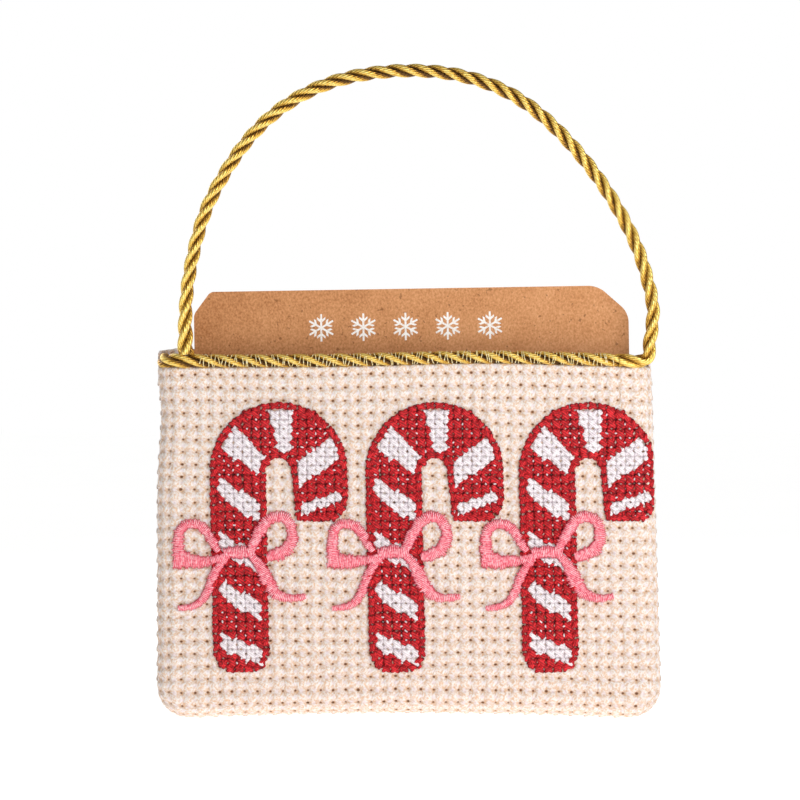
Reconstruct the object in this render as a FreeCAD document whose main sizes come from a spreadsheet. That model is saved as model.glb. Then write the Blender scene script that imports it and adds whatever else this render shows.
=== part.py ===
"""Embroidered gift card holder: a lined cloth pouch, its gold cord handle and a kraft card.

Millimetres. +Z is up, the embroidered front faces -Y and +X is to the viewer's right. The origin
is the middle of the pouch's foot, on the seam plane between the front and the back.
"""
import FreeCAD
import Part
import Sketcher
import math
import os

Vector = FreeCAD.Vector

# Driving dimensions. A name that ends in share or shares has no unit.
SIZES = {
    # pouch outline, seen from the front
    "knee_half_width": 51.2,
    "belly_half_width": 50.6,
    "mouth_half_width": 50.0,
    "corner_radius": 6.5,
    "belly_height": 38.0,
    "front_mouth_height": 71.4,
    "back_mouth_height": 74.6,
    # fullness of each half, from the seam plane to the outside of the cloth
    "front_foot_depth": 3.4,
    "front_knee_depth": 4.8,
    "front_belly_depth": 5.5,
    "front_mouth_depth": 5.3,
    "back_foot_depth": 3.6,
    "back_knee_depth": 4.0,
    "back_belly_depth": 4.0,
    "back_mouth_depth": 4.0,
    "front_crown_share": 0.15,
    "back_crown_share": 0.05,
    # layers of the wall
    "cloth": 0.8,
    "interlining": 0.4,
    "lining": 0.3,
    # gold cord: mouth trim and handle
    "cord_radius": 1.35,
    "trim_inset": 0.6,
    "trim_seat_gap": 0.1,
    "trim_wrap_radius": 3.75,
    "handle_gap": 0.3,
    # sewing threads
    "couching_radius": 0.13,
    "couching_gap": 0.02,
    "couching_pitch": 4.0,
    "seam_thread_radius": 0.2,
    "seam_pitch": 3.0,
    "seam_stitch_length": 1.6,
    # kraft card
    "card_width": 88.9,
    "card_height": 85.0,
    "card_thickness": 0.5,
    "card_clip_width": 7.7,
    "card_clip_height": 6.5,
    "card_tilt": 0.8,
    "card_back_gap": 0.1,
    "card_floor_gap": 0.3,
    "card_side_gap": 0.4,
    # cross-stitched canes
    "stitch_thickness": 0.7,
    "stitch_border": 2.0,
    "cane_band": 11.3,
    "cane_arch_radius": 8.25,
    "cane_arch_height": 50.2,
    "cane_foot_height": 9.5,
    "cane_tip_height": 40.1,
    "cane_toe_radius": 3.5,
    "cane_middle_place": 5.0,
    "cane_spacing": 31.2,
    # satin-stitch bows, measured from the knot
    "satin_thickness": 1.2,
    "bow_height": 33.6,
    "knot_half_width": 3.1,
    "knot_half_height": 1.6,
    "loop_radius": 4.9,
    "loop_band": 2.3,
    "left_loop_reach": 9.2,
    "left_loop_rise": 1.8,
    "right_loop_reach": 7.6,
    "right_loop_rise": 3.2,
    "left_tail_reach": 12.2,
    "left_tail_drop": 11.5,
    "right_tail_reach": 12.9,
    "right_tail_drop": 8.9,
    "tail_width": 2.6,
    # extra length of every cutting tool
    "overrun": 2.0,
}

# Quarter round of the bottom corners, in degrees from the foot to the knee.
CORNER_ANGLES = (0, 30, 60, 90)

# White stripes, chosen by hand from the tip of the hook to the foot, as shares of the length of a
# cane's middle line: where a stripe starts and ends on the outer edge, then on the inner edge.
STRIPE_SHARES = [
    (0.055, 0.087, 0.0, 0.03), (0.16, 0.195, 0.08, 0.165), (0.28, 0.317, 0.193, 0.282),
    (0.38, 0.422, 0.402, 0.482), (0.47, 0.525, 0.55, 0.615), (0.618, 0.677, 0.692, 0.747),
    (0.75, 0.8, 0.827, 0.873), (0.89, 0.925, 0.945, 0.985),
]

# Route of the handle, chosen by hand: (x, height over the mouth cord's centre line), from the
# end face that meets the mouth cord, round the right corner and over to the left leg.
HANDLE_ROUTE = [
    (42.8, 0.0), (49.1, 0.0), (49.5, 11.2), (46.2, 24.7), (37.3, 39.2), (25.0, 52.0),
    (12.0, 58.0), (-3.5, 59.2), (-18.3, 56.1), (-30.6, 47.8), (-39.8, 33.8), (-43.6, 22.6),
    (-45.2, 9.6), (-45.2, 0.0),
]
ROUTE_START_X = HANDLE_ROUTE[0][0]
LEFT_LEG_X = HANDLE_ROUTE[-1][0]
ARC_SHARE = 0.45

doc = FreeCAD.newDocument("gift_card_holder")
dims = doc.addObject("Spreadsheet::Sheet", "dims")
for row, (alias, size) in enumerate(SIZES.items(), start=1):
    dims.set(f"A{row}", alias)
    dims.set(f"B{row}", str(size))
    dims.setAlias(f"B{row}", alias)
doc.recompute()

nodes = []


def number(expression):
    """The value of an expression of sheet cells."""
    return float(dims.evalExpression(expression))


def bind(item, **expressions):
    """Tie properties of an object to expressions of sheet cells."""
    for name, expression in expressions.items():
        item.setExpression(name.replace("__", "."), expression)


def place(item, x, y, z, turn=FreeCAD.Rotation()):
    """Turn an object and tie its position to expressions of sheet cells."""
    item.Placement = FreeCAD.Placement(Vector(), turn)
    bind(item, Placement__Base__x=x, Placement__Base__y=y, Placement__Base__z=z)


def node(kind, name, **links):
    """A sub-part: a document object whose label names its file."""
    item = doc.addObject(kind, name)
    item.Label = name
    for link, target in links.items():
        setattr(item, link, target)
    nodes.append(item)
    return item


# Expressions that several pieces share
LINING_FACE = "(dims.cloth + dims.interlining + dims.lining)"
FRONT_MOUTH_ROLL = "(dims.front_mouth_depth * (1 - dims.front_crown_share))"
CORD_Y = "(dims.trim_inset - dims.front_mouth_depth)"
CORD_Z = "(dims.front_mouth_height + dims.trim_seat_gap + dims.cord_radius)"
WRAP_X = f"({FRONT_MOUTH_ROLL} - dims.mouth_half_width)"
ALONG_X = FreeCAD.Rotation(Vector(0, 1, 0), 90)
ALONG_Y = FreeCAD.Rotation(Vector(1, 0, 0), -90)


# The soft pouch: nested forms, each lofted through cross-sections from the foot to the mouth

def levels(side, inset):
    """Height, half width and depth of each cross-section, as expressions."""
    foot = f"dims.{side}_foot_depth"
    rows = []
    for angle in CORNER_ANGLES:
        radius = f"(dims.corner_radius - {inset})"
        height = f"dims.corner_radius - {radius} * cos({angle} deg)"
        width = f"dims.knee_half_width - dims.corner_radius + {radius} * sin({angle} deg)"
        depth = f"({foot} + (dims.{side}_knee_depth - {foot}) * sin({angle} deg))"
        rows.append((height, width, depth))
    rows.append(("dims.belly_height", f"dims.belly_half_width - {inset}", f"dims.{side}_belly_depth"))
    mouth = f"dims.{side}_mouth_height"
    rows.append((mouth, f"dims.mouth_half_width - {inset}", f"dims.{side}_mouth_depth"))
    return rows


def section(name, side, inset, height, width, depth):
    """Cross-section of one half: a crowned face between two rolled edges, closed on the seam.

    It is drawn on the back's side, and turned half round for the front.
    """
    roll = f"({depth} * (1 - dims.{side}_crown_share) - {inset})"
    centre = f"({width} - {roll})"
    crown = f"({depth} * dims.{side}_crown_share)"
    bow_radius = f"(({centre} * {centre} + {crown} * {crown}) / (2 * {crown}))"
    c, r, w = number(centre), number(roll), number(width)
    diagonal = r * math.sqrt(0.5)

    sketch = doc.addObject("Sketcher::SketchObject", name)
    sketch.addGeometry([
        Part.Arc(Vector(w, 0), Vector(c + diagonal, diagonal), Vector(c, r)),
        Part.Arc(Vector(c, r), Vector(0, r + number(crown)), Vector(-c, r)),
        Part.Arc(Vector(-c, r), Vector(-c - diagonal, diagonal), Vector(-w, 0)),
        Part.LineSegment(Vector(-w, 0), Vector(w, 0)),
    ], False)
    right_roll, face, left_roll, seam = range(4)
    start, end, middle = 1, 2, 3
    x_axis, y_axis, origin = -1, -2, -1
    rules = [Sketcher.Constraint("Coincident", edge, end, following, start)
             for edge, following in ((right_roll, face), (face, left_roll), (left_roll, seam),
                                     (seam, right_roll))]
    rules += [
        Sketcher.Constraint("PointOnObject", right_roll, middle, x_axis),
        Sketcher.Constraint("PointOnObject", right_roll, start, x_axis),
        Sketcher.Constraint("PointOnObject", left_roll, end, x_axis),
        Sketcher.Constraint("Vertical", right_roll, middle, right_roll, end),
        Sketcher.Constraint("Vertical", left_roll, middle, left_roll, start),
        Sketcher.Constraint("Symmetric", right_roll, middle, left_roll, middle, y_axis),
        Sketcher.Constraint("Equal", right_roll, left_roll),
    ]
    sketch.addConstraint(rules)
    driving = [
        ("roll", Sketcher.Constraint("Radius", right_roll, r), roll),
        ("centre", Sketcher.Constraint("DistanceX", origin, start, right_roll, middle, c), centre),
        ("bow", Sketcher.Constraint("Radius", face, number(bow_radius)), bow_radius),
    ]
    for label, constraint, expression in driving:
        sketch.renameConstraint(sketch.addConstraint(constraint), label)
        sketch.setExpression(f"Constraints.{label}", expression)
    half_turn = FreeCAD.Rotation(Vector(0, 0, 1), 180)
    place(sketch, "0", "0", height, half_turn if side == "front" else FreeCAD.Rotation())
    return sketch


def form(name, side, inset):
    """Closed form of one half of the pouch, its surface set in from the cloth by inset."""
    loft = doc.addObject("Part::Loft", name)
    loft.Sections = [section(f"{name}_section_{index}", side, inset, *level)
                     for index, level in enumerate(levels(side, inset))]
    loft.Solid = True
    loft.Ruled = True
    return loft


LAYERS = {"panel": "0", "interlining": "dims.cloth", "lining": "(dims.cloth + dims.interlining)",
          "pocket": LINING_FACE}
forms = {(side, layer): form(f"{side}_{layer}_form", side, inset)
         for side in ("front", "back") for layer, inset in LAYERS.items()}
for side in ("front", "back"):
    names = list(LAYERS)
    for outer, inner in zip(names, names[1:]):
        node("Part::Cut", f"{side}_{outer}", Base=forms[side, outer], Tool=forms[side, inner])


# Gold cord along the front mouth edge, wrapped round the left corner to the seam

trim_run = doc.addObject("Part::Cylinder", "trim_run")
bind(trim_run, Radius="dims.cord_radius", Height=f"{ROUTE_START_X} - {WRAP_X}")
place(trim_run, WRAP_X, CORD_Y, CORD_Z, ALONG_X)
trim_wrap = doc.addObject("Part::Torus", "trim_wrap")
bind(trim_wrap, Radius1="dims.trim_wrap_radius", Radius2="dims.cord_radius")
trim_wrap.Angle3 = 90
place(trim_wrap, WRAP_X, f"{CORD_Y} + dims.trim_wrap_radius", CORD_Z,
      FreeCAD.Rotation(Vector(0, 0, 1), 180))
node("Part::MultiFuse", "mouth_trim_cord", Shapes=[trim_run, trim_wrap])


def thread_loops():
    """Fine loops that hold the cord to the mouth edge, clear of the handle's left leg."""
    clear = number("2 * dims.cord_radius")
    first = LEFT_LEG_X + clear
    count = int((ROUTE_START_X - clear - first) // number("dims.couching_pitch")) + 1
    for index in range(count):
        loop = doc.addObject("Part::Torus", f"couching_{index}")
        bind(loop, Radius1="dims.cord_radius + dims.couching_gap + dims.couching_radius",
             Radius2="dims.couching_radius")
        place(loop, f"{LEFT_LEG_X} + 2 * dims.cord_radius + {index} * dims.couching_pitch",
              CORD_Y, CORD_Z, ALONG_X)
        yield loop


node("Part::Compound", "trim_couching_stitches", Links=list(thread_loops()))


# Seam threads: short stitches across the seam plane, in the middle of the cloth's thickness

def seam_stitch(name, x, z):
    """One stitch through the turned edges of both panels."""
    stitch = doc.addObject("Part::Cylinder", name)
    bind(stitch, Radius="dims.seam_thread_radius", Height="dims.seam_stitch_length")
    place(stitch, x, "-dims.seam_stitch_length / 2", z, ALONG_Y)
    return stitch


def side_seam(side, facing):
    """Stitches up one side seam, from the knee to just under the mouth."""
    start, end = number("dims.corner_radius"), number("dims.front_mouth_height")
    count = int((end - start) // number("dims.seam_pitch"))
    stitches = []
    for index in range(count):
        z = f"(dims.corner_radius + ({index} + 0.5) * dims.seam_pitch)"
        low = number(z) < number("dims.belly_height")
        upper, lower = ("belly", "knee") if low else ("mouth", "belly")
        bottom = "dims.corner_radius" if low else "dims.belly_height"
        top = "dims.belly_height" if low else "dims.front_mouth_height"
        rise = f"(({z} - {bottom}) / ({top} - {bottom}))"
        edge = (f"(dims.{lower}_half_width + (dims.{upper}_half_width - dims.{lower}_half_width)"
                f" * {rise} - dims.cloth / 2)")
        stitches.append(seam_stitch(f"{side}_stitch_{index}", f"{facing} * {edge}", z))
    return stitches


def bottom_seam():
    """Stitches along the foot, between the rounded corners."""
    reach = number("dims.knee_half_width - dims.corner_radius")
    count = int(reach // number("dims.seam_pitch"))
    return [seam_stitch(f"bottom_stitch_{count + index}", f"{index} * dims.seam_pitch", "dims.cloth / 2")
            for index in range(-count, count + 1)]


node("Part::Compound", "left_seam_stitches", Links=side_seam("left", -1))
node("Part::Compound", "right_seam_stitches", Links=side_seam("right", 1))
node("Part::Compound", "bottom_seam_stitches", Links=bottom_seam())


# Embroidery: flat outlines pushed through the front, cut to a layer that follows the cloth

def prism(name, outlines):
    """Outlines in the XZ plane, each a closed list of edges, pushed out of the front."""
    reach = number("dims.front_belly_depth + dims.satin_thickness + dims.overrun")
    feature = doc.addObject("Part::Feature", name)
    solids = [Part.Face(Part.Wire(edges)).extrude(Vector(0, -reach, 0)) for edges in outlines]
    feature.Shape = Part.Compound(solids) if len(solids) > 1 else solids[0]
    return feature


def line(start, end):
    """Straight edge between two (x, z) points."""
    return Part.LineSegment(Vector(start[0], 0, start[1]), Vector(end[0], 0, end[1])).toShape()


def arc(start, middle, end):
    """Round edge through three (x, z) points."""
    points = [Vector(x, 0, z) for x, z in (start, middle, end)]
    return Part.Arc(*points).toShape()


def cane_outline(centre_x, border):
    """Hooked cane, set in by border: round tip, half-ring arch, straight stem, rounded toe."""
    mid = number("dims.cane_arch_radius")
    half = number("dims.cane_band") / 2 - border
    arch_z = number("dims.cane_arch_height")
    toe = number("dims.cane_toe_radius") - border / 2
    foot = number("dims.cane_foot_height") + border
    tip = number("dims.cane_tip_height") + border
    diagonal = math.sqrt(0.5)
    outer, inner = mid + half, mid - half
    left, right = centre_x - outer, centre_x - inner
    hook_left, hook_right = centre_x + inner, centre_x + outer
    corner = toe * (1 - diagonal)
    return [
        line((left + toe, foot), (right - toe, foot)),
        arc((right - toe, foot), (right - corner, foot + corner), (right, foot + toe)),
        line((right, foot + toe), (right, arch_z)),
        arc((right, arch_z), (centre_x, arch_z + inner), (hook_left, arch_z)),
        line((hook_left, arch_z), (hook_left, tip + toe)),
        arc((hook_left, tip + toe), (hook_left + corner, tip + corner), (hook_left + toe, tip)),
        line((hook_left + toe, tip), (hook_right - toe, tip)),
        arc((hook_right - toe, tip), (hook_right - corner, tip + corner), (hook_right, tip + toe)),
        line((hook_right, tip + toe), (hook_right, arch_z)),
        arc((hook_right, arch_z), (centre_x, arch_z + outer), (left, arch_z)),
        line((left, arch_z), (left, foot + toe)),
        arc((left, foot + toe), (left + corner, foot + corner), (left + toe, foot)),
    ]


def cane_point(centre_x, along, across):
    """Point of a cane: along its middle line from the tip, across from it towards the inside."""
    mid = number("dims.cane_arch_radius")
    arch_z = number("dims.cane_arch_height")
    arm = arch_z - number("dims.cane_tip_height")
    turn = math.pi * mid
    if along < arm:
        return centre_x + mid - across, arch_z - arm + along
    if along < arm + turn:
        angle = (along - arm) / mid
        radius = mid - across
        return centre_x + radius * math.cos(angle), arch_z + radius * math.sin(angle)
    return centre_x - mid + across, arch_z - (along - arm - turn)


def stripe_outline(centre_x, shares):
    """One slanted stripe right across a cane's band."""
    half = number("dims.cane_band") / 2
    arch_z = number("dims.cane_arch_height")
    straight = 2 * arch_z - number("dims.cane_tip_height") - number("dims.cane_foot_height")
    length = straight + math.pi * number("dims.cane_arch_radius")
    outer_start, outer_end, inner_start, inner_end = [share * length for share in shares]
    corners = [cane_point(centre_x, outer_start, -half), cane_point(centre_x, outer_end, -half),
               cane_point(centre_x, inner_end, half), cane_point(centre_x, inner_start, half)]
    return [line(start, end) for start, end in zip(corners, corners[1:] + corners[:1])]


def teardrop(tip, centre, radius):
    """Round loop drawn to a point: an arc and its two tangents from the tip."""
    dx, dz = centre[0] - tip[0], centre[1] - tip[1]
    distance = math.hypot(dx, dz)
    heading = math.atan2(dz, dx)
    half = math.acos(radius / distance)
    first, last = [(centre[0] + radius * math.cos(heading + math.pi + sign * half),
                    centre[1] + radius * math.sin(heading + math.pi + sign * half))
                   for sign in (-1, 1)]
    far = (centre[0] + radius * math.cos(heading), centre[1] + radius * math.sin(heading))
    return [line(tip, first), arc(first, far, last), line(last, tip)]


def tail_outline(knot, reach, drop):
    """Ribbon tail that widens a little towards its slanted end."""
    half = number("dims.tail_width") / 2
    length = math.hypot(reach, drop)
    across = (drop / length * half, reach / length * half)
    start = knot
    end = (knot[0] + reach, knot[1] - drop)
    corners = [(start[0] - across[0] / 2, start[1] - across[1] / 2),
               (start[0] + across[0] / 2, start[1] + across[1] / 2),
               (end[0] + across[0], end[1] + across[1]), (end[0] - across[0], end[1] - across[1])]
    return [line(a, b) for a, b in zip(corners, corners[1:] + corners[:1])]


def knot_outline(knot):
    """Knot of the bow: two flat sides and two round ends."""
    width, height = number("dims.knot_half_width"), number("dims.knot_half_height")
    x, z = knot
    flat = width - height
    return [line((x - flat, z - height), (x + flat, z - height)),
            arc((x + flat, z - height), (x + width, z), (x + flat, z + height)),
            line((x + flat, z + height), (x - flat, z + height)),
            arc((x - flat, z + height), (x - width, z), (x - flat, z - height))]


def bow_prism(name, centre_x):
    """Two open loops, two tails and the knot over them, in one piece."""
    knot = (centre_x - number("dims.cane_arch_radius"), number("dims.bow_height"))
    radius, band = number("dims.loop_radius"), number("dims.loop_band")
    loops, holes = [], []
    for side, facing in (("left", -1), ("right", 1)):
        reach, rise = number(f"dims.{side}_loop_reach"), number(f"dims.{side}_loop_rise")
        centre = (knot[0] + facing * reach, knot[1] + rise)
        loops.append(teardrop(knot, centre, radius))
        holes.append(teardrop((knot[0] + facing * number("dims.knot_half_width"), knot[1]),
                              centre, radius - band))
    tails = [tail_outline(knot, facing * number(f"dims.{side}_tail_reach"),
                          number(f"dims.{side}_tail_drop"))
             for side, facing in (("left", -1), ("right", 1))]
    ribbon = doc.addObject("Part::MultiFuse", f"{name}_ribbon")
    ribbon.Shapes = [prism(f"{name}_ribbon_{index}", [outline])
                     for index, outline in enumerate(loops + tails + [knot_outline(knot)])]
    bow = doc.addObject("Part::Cut", f"{name}_bow")
    bow.Base, bow.Tool = ribbon, prism(f"{name}_holes", holes)
    return bow


def overlay(name, thickness):
    """Layer of thread that lies on the front cloth."""
    outer = form(f"{name}_form", "front", f"(-{thickness})")
    layer = doc.addObject("Part::Cut", name)
    layer.Base, layer.Tool = outer, forms["front", "panel"]
    return layer


def common(kind, name, base, tool):
    """Shape shared by two objects, kept as a helper or as a node."""
    item = node("Part::Common", name) if kind == "node" else doc.addObject("Part::Common", name)
    item.Base, item.Tool = base, tool
    return item


stitch_layer = overlay("stitch_layer", "dims.stitch_thickness")
satin_layer = overlay("satin_layer", "dims.satin_thickness")
for index, place_name in enumerate(("left", "middle", "right")):
    arch_x = number(f"dims.cane_middle_place + ({index} - 1) * dims.cane_spacing")
    body = prism(f"cane_{place_name}_outline", [cane_outline(arch_x, 0)])
    inside = prism(f"cane_{place_name}_inside", [cane_outline(arch_x, number("dims.stitch_border"))])
    stripes = prism(f"cane_{place_name}_stripes",
                    [stripe_outline(arch_x, shares) for shares in STRIPE_SHARES])
    cane = common("helper", f"cane_{place_name}_stitches", body, stitch_layer)
    bands = common("helper", f"cane_{place_name}_bands", inside, stripes)
    white = common("node", f"cane_{place_name}_white", bands, stitch_layer)
    node("Part::Cut", f"cane_{place_name}_red", Base=cane, Tool=white)
    satin = common("helper", f"bow_{place_name}_satin", bow_prism(place_name, arch_x), satin_layer)
    node("Part::Cut", f"bow_{place_name}", Base=satin, Tool=cane)


# Handle: the same cord on a route of straight runs and tangent arcs, seated on the mouth cord

def rounded_path(points):
    """Edges of the route with each corner rounded as far as its two runs allow."""
    edges, start = [], points[0]
    for before, corner, after in zip(points, points[1:], points[2:]):
        back, on = before.sub(corner), after.sub(corner)
        trim = ARC_SHARE * min(back.Length, on.Length)
        half_turn = (math.pi - back.getAngle(on)) / 2
        radius = trim / math.tan(half_turn)
        back.normalize()
        on.normalize()
        into, out = corner.add(back * trim), corner.add(on * trim)
        inward = back.add(on).normalize()
        middle = corner.add(inward * (radius / math.cos(half_turn) - radius))
        edges.append(Part.LineSegment(start, into).toShape())
        edges.append(Part.Arc(into, middle, out).toShape())
        print(f"handle bend at x {corner.x:.1f}: radius {radius:.1f} mm")
        start = out
    edges.append(Part.LineSegment(start, points[-1]).toShape())
    return edges


cord_y, cord_z, cord_radius = number(CORD_Y), number(CORD_Z), number("dims.cord_radius")
route = [Vector(x, cord_y, cord_z + rise) for x, rise in HANDLE_ROUTE]
path = Part.Wire(rounded_path(route))
ring = Part.Wire(Part.Circle(route[0], Vector(1, 0, 0), cord_radius).toShape())
handle_tube = doc.addObject("Part::Feature", "handle_tube")
handle_tube.Shape = path.makePipeShell([ring], True, False)
tube_share = handle_tube.Shape.Volume / (math.pi * cord_radius ** 2 * path.Length)
print(f"handle cord: {path.Length:.1f} mm long, volume {tube_share:.4f} of section times length")
saddle = doc.addObject("Part::Cylinder", "handle_saddle")
bind(saddle, Radius="dims.cord_radius + dims.handle_gap", Height="2 * (dims.cord_radius + dims.overrun)")
place(saddle, f"{LEFT_LEG_X} - dims.cord_radius - dims.overrun", CORD_Y, CORD_Z, ALONG_X)
node("Part::Cut", "handle_cord", Base=handle_tube, Tool=saddle)


# Kraft card with clipped top corners, leaning a little in the pocket

card = node("PartDesign::Body", "insert_card")
card_face = card.newObject("Sketcher::SketchObject", "card_face")
card_face.AttachmentSupport = [(next(feature for feature in card.Origin.OriginFeatures
                                     if feature.Role == "XZ_Plane"), "")]
card_face.MapMode = "FlatFace"
wide, tall = number("dims.card_width"), number("dims.card_height")
clip_x, clip_z = number("dims.card_clip_width"), number("dims.card_clip_height")
outline = [(0, 0), (wide, 0), (wide, tall - clip_z), (wide - clip_x, tall), (clip_x, tall),
           (0, tall - clip_z)]
for start, end in zip(outline, outline[1:] + outline[:1]):
    card_face.addGeometry(Part.LineSegment(Vector(*start), Vector(*end)), False)
for edge in range(len(outline)):
    card_face.addConstraint(
        Sketcher.Constraint("Coincident", edge, 2, (edge + 1) % len(outline), 1))
card_face.addConstraint(Sketcher.Constraint("Coincident", 0, 1, -1, 1))
for edge, direction in ((0, "Horizontal"), (1, "Vertical"), (3, "Horizontal"), (5, "Vertical")):
    card_face.addConstraint(Sketcher.Constraint(direction, edge))
card_sizes = [
    ("width", Sketcher.Constraint("DistanceX", 0, 1, 0, 2, wide), "dims.card_width"),
    ("height", Sketcher.Constraint("DistanceY", -1, 1, 3, 1, tall), "dims.card_height"),
    ("right_clip_width", Sketcher.Constraint("DistanceX", 2, 2, 2, 1, clip_x), "dims.card_clip_width"),
    ("right_clip_height", Sketcher.Constraint("DistanceY", 2, 1, 2, 2, clip_z), "dims.card_clip_height"),
    ("left_clip_width", Sketcher.Constraint("DistanceX", 4, 2, 4, 1, clip_x), "dims.card_clip_width"),
    ("left_clip_height", Sketcher.Constraint("DistanceY", 4, 2, 4, 1, clip_z), "dims.card_clip_height"),
]
for label, constraint, expression in card_sizes:
    card_face.renameConstraint(card_face.addConstraint(constraint), label)
    card_face.setExpression(f"Constraints.{label}", expression)
card_pad = card.newObject("PartDesign::Pad", "card_pad")
card_pad.Profile = card_face
bind(card_pad, Length="dims.card_thickness")
place(card,
      f"{LEFT_LEG_X} + dims.cord_radius + dims.card_side_gap"
      " + dims.front_mouth_height * tan(dims.card_tilt * 1 deg)",
      f"dims.back_foot_depth * (1 - dims.back_crown_share) - {LINING_FACE} - dims.card_back_gap",
      f"{LINING_FACE} + dims.card_floor_gap", FreeCAD.Rotation(Vector(0, -1, 0), 1))
card.setExpression("Placement.Rotation.Angle", "dims.card_tilt")


# Build, check every object, and write one file per sub-part

doc.recompute()
failed = [item.Name for item in doc.Objects if "Invalid" in item.State or "Error" in item.State]
if failed:
    raise RuntimeError("objects failed to build: " + ", ".join(failed))
for item in nodes:
    if item.Shape.isNull() or not item.Shape.isValid() or not item.Shape.Solids:
        raise RuntimeError(f"{item.Label} has no valid solid")
os.makedirs("parts", exist_ok=True)
for item in nodes:
    item.Shape.exportStep(f"parts/{item.Label}.step")
    box = item.Shape.BoundBox
    print(f"{item.Label}: {len(item.Shape.Solids)} solids, {item.Shape.Volume:.1f} mm3, "
          f"x {box.XMin:.1f} to {box.XMax:.1f}, y {box.YMin:.1f} to {box.YMax:.1f}, "
          f"z {box.ZMin:.1f} to {box.ZMax:.1f}")
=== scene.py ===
# %% [markdown]
# # A gift card holder, dressed over its CAD frame
# The CAD part is loaded as a fixed frame, and each soft solid in it gets a piece of cloth, thread or
# cord that looks like the real one. Sizes are in millimetres, as on the drawing, and every point is
# turned into metres when it is placed.

# %% Load the frame
import bpy
import bmesh
import math
import random
from mathutils import Matrix, Vector, geometry, noise


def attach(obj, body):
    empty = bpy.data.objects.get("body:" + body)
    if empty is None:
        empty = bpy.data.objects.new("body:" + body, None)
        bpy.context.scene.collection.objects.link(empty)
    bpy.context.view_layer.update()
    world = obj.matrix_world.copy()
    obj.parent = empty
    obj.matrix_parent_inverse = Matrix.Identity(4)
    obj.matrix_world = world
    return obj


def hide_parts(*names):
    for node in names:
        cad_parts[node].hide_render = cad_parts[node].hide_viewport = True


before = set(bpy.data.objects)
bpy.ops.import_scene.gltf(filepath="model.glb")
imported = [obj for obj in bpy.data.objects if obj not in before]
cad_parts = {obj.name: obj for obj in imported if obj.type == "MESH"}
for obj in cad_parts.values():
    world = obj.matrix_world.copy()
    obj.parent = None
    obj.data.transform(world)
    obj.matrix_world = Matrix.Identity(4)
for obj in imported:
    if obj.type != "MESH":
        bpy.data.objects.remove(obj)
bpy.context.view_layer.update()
MM = 0.001
chance = random.Random(12)

# %% [markdown]
# ## Camera
# The holder was photographed straight from the front with a long lens, so that parallel edges stay
# parallel. A 200 mm lens at 0.9 m gives the same flat view, and a field 162 mm wide.

# %% Camera
VIEW_CENTRE = (-1.6, 64.6)
VIEW_WIDTH = 162.0
VIEW_DISTANCE = 900.0
FRONT_FACE_Y = -5.0


def show(name, data):
    """An object with this data, linked to the scene."""
    thing = bpy.data.objects.new(name, data)
    bpy.context.scene.collection.objects.link(thing)
    return thing


lens = bpy.data.cameras.new("front_view")
lens.sensor_width = 36.0
lens.lens = lens.sensor_width * VIEW_DISTANCE / VIEW_WIDTH
camera = show("front_view", lens)
camera.location = Vector((VIEW_CENTRE[0], FRONT_FACE_Y - VIEW_DISTANCE, VIEW_CENTRE[1])) * MM
camera.rotation_euler = (math.radians(90), 0, 0)
bpy.context.scene.camera = camera
print(f"lens {lens.lens:.0f} mm")

# %% [markdown]
# ## Tools for materials
# Every finish here is a small node tree. Short helpers keep the trees readable: one makes the shader,
# one adds a node with its inputs, and others name the few kinds of node that are used again and again.
# Colours are written as on a screen, from 0 to 255, and turned into the linear values that the shader
# needs.

# %% Material helpers
UV_OUTPUT = 2
OBJECT_OUTPUT = 3


def linear(red, green, blue):
    """A screen colour as linear light, with alpha."""
    shares = [channel / 255 for channel in (red, green, blue)]
    return [s / 12.92 if s <= 0.04045 else ((s + 0.055) / 1.055) ** 2.4 for s in shares] + [1.0]


def new_finish(name, **constants):
    """A material whose shader has these constant values on its own sockets."""
    finish = bpy.data.materials.new(name)
    finish.use_nodes = True
    shader = finish.node_tree.nodes["Principled BSDF"]
    for socket, value in constants.items():
        shader.inputs[socket.replace("_", " ")].default_value = value
    return finish


def add(finish, kind, inputs=None, output=0, **settings):
    """Add a node and give one of its outputs. Each input is a number or another node's output."""
    node = finish.node_tree.nodes.new(kind)
    for name, value in settings.items():
        setattr(node, name, value)
    for socket, value in (inputs or {}).items():
        if isinstance(value, bpy.types.NodeSocket):
            finish.node_tree.links.new(value, node.inputs[socket])
        else:
            node.inputs[socket].default_value = value
    return node.outputs[output]


def maths(finish, operation, first, second=0.0, third=0.5):
    """One sum of numbers or outputs. Only MULTIPLY_ADD uses the third."""
    return add(finish, "ShaderNodeMath", {0: first, 1: second, 2: third}, operation=operation)


def weigh(finish, *parts):
    """The sum of outputs, each times its weight."""
    total = 0.0
    for value, weight in parts:
        total = maths(finish, "MULTIPLY_ADD", value, weight, total)
    return total


def uv_place(finish):
    """The two shares that a piece keeps as its UV map."""
    return add(finish, "ShaderNodeTexCoord", output=UV_OUTPUT)


def piece_place(finish):
    """The place on a piece, in metres."""
    return add(finish, "ShaderNodeTexCoord", output=OBJECT_OUTPUT)


def axes(finish, vector):
    """The three numbers of a vector."""
    return add(finish, "ShaderNodeSeparateXYZ", {0: vector}).node.outputs


def ramp(finish, factor, stops):
    """Colours along a factor: stops are (position, screen colour)."""
    colours = add(finish, "ShaderNodeValToRGB", {"Fac": factor})
    band = colours.node.color_ramp
    while len(band.elements) < len(stops):
        band.elements.new(0.5)
    for element, (position, colour) in zip(band.elements, stops):
        element.position = position
        element.color = linear(*colour)
    return colours


def fade(finish, value, start, end):
    """One at start, none at end, with a soft step between."""
    return add(finish, "ShaderNodeMapRange", {"Value": value, "From Min": start, "From Max": end,
                                              "To Min": 1.0, "To Max": 0.0},
               interpolation_type="SMOOTHSTEP")


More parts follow.
